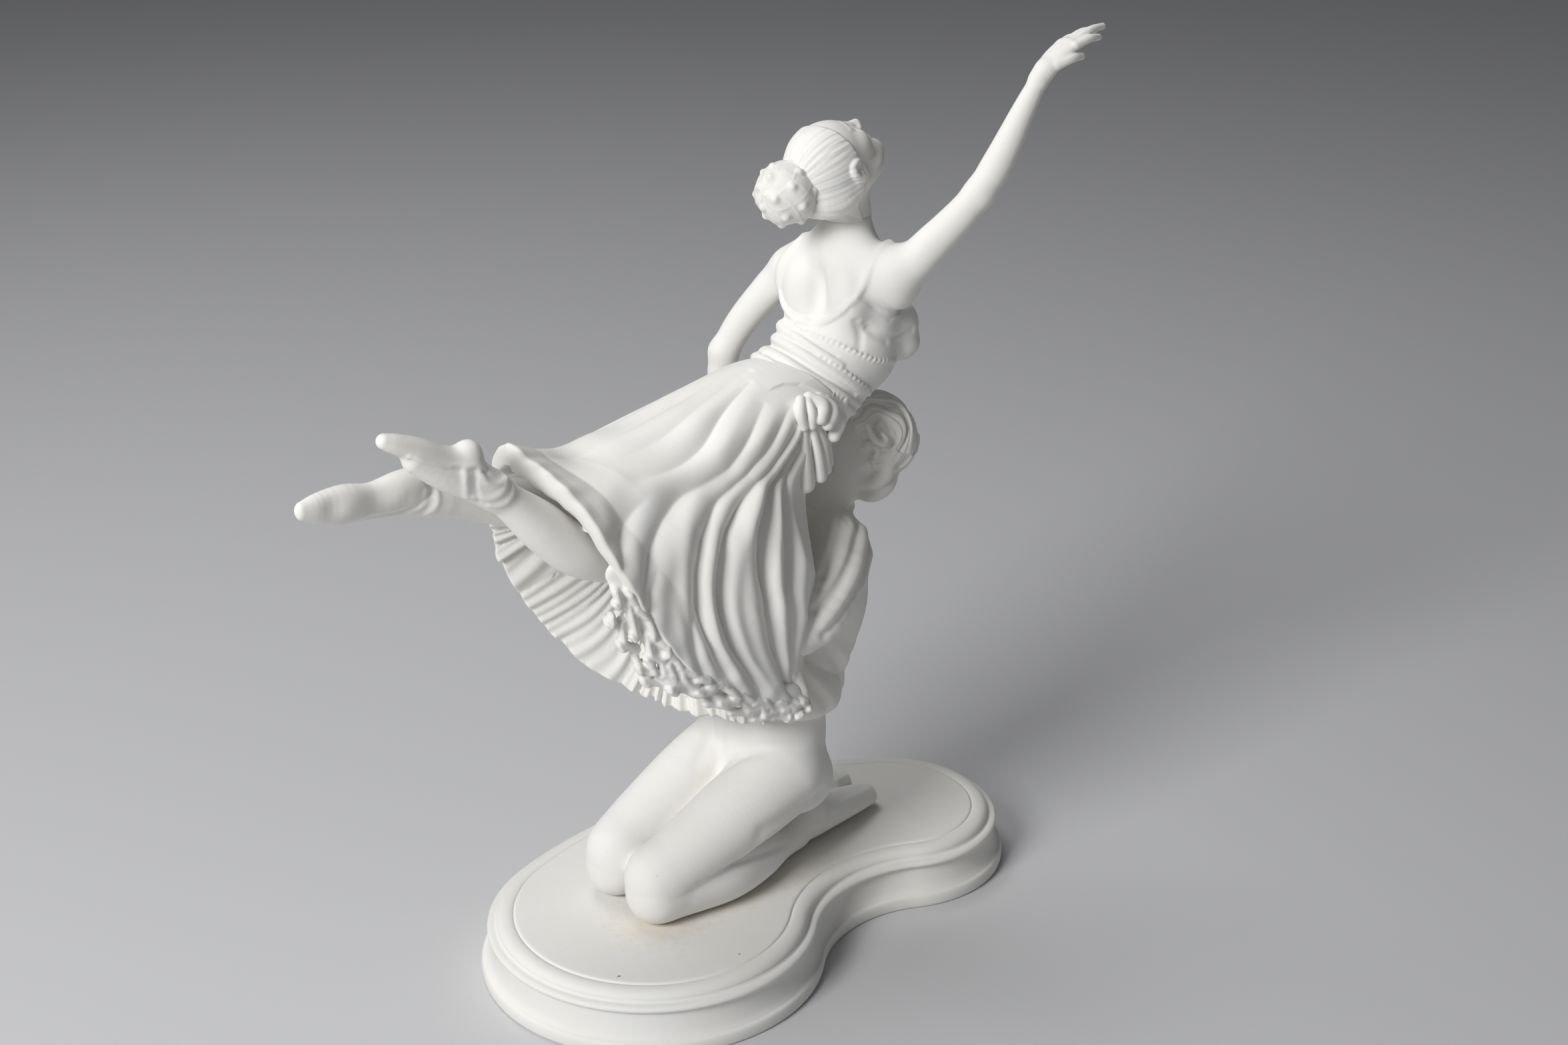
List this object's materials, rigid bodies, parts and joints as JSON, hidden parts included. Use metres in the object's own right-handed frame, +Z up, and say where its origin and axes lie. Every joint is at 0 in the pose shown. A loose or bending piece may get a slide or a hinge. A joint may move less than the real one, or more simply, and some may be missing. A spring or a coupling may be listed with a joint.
{
  "type": "porcelain figurine",
  "caption": "White bisque statuette of a kneeling man in tights lifting a ballerina whose skirt flares behind her, on a kidney-shaped plinth with a moulded edge.",
  "frame": {"origin": "centre of the plinth's underside", "axes": "+Z up; X along the plinth's long side, the man faces -X and the ballerina faces +X; -Y is the man's left"},
  "size_m": [0.2595, 0.1208, 0.2999],
  "materials": {
    "bisque_skin": "matte unglazed porcelain",
    "bisque_drapery": "matte unglazed porcelain, modelled as cloth",
    "bisque_hair": "matte unglazed porcelain, beaded",
    "bisque_plinth": "matte unglazed porcelain, smooth"
  },
  "bodies": {
    "root": {"plinth": "bisque_plinth", "man_hips_and_thighs": "bisque_skin", "man_left_lower_leg": "bisque_skin", "man_right_lower_leg": "bisque_skin", "man_torso": "bisque_drapery", "man_left_sleeve": "bisque_drapery", "man_left_forearm": "bisque_skin", "man_right_sleeve": "bisque_drapery", "man_right_forearm": "bisque_skin", "man_head": "bisque_skin", "ballerina_torso": "bisque_drapery", "ballerina_head": "bisque_skin", "hair_bun": "bisque_hair", "ballerina_right_arm": "bisque_skin", "ballerina_right_hand": "bisque_skin", "ballerina_left_arm": "bisque_skin", "ballerina_left_hand": "bisque_skin", "skirt": "bisque_drapery", "hip_flounce": "bisque_drapery", "petticoat": "bisque_drapery", "hem_frill": "bisque_drapery", "ballerina_left_leg": "bisque_skin", "ballerina_right_leg": "bisque_skin", "left_pointe_shoe": "bisque_drapery", "right_pointe_shoe": "bisque_drapery"}
  },
  "joints": []
}
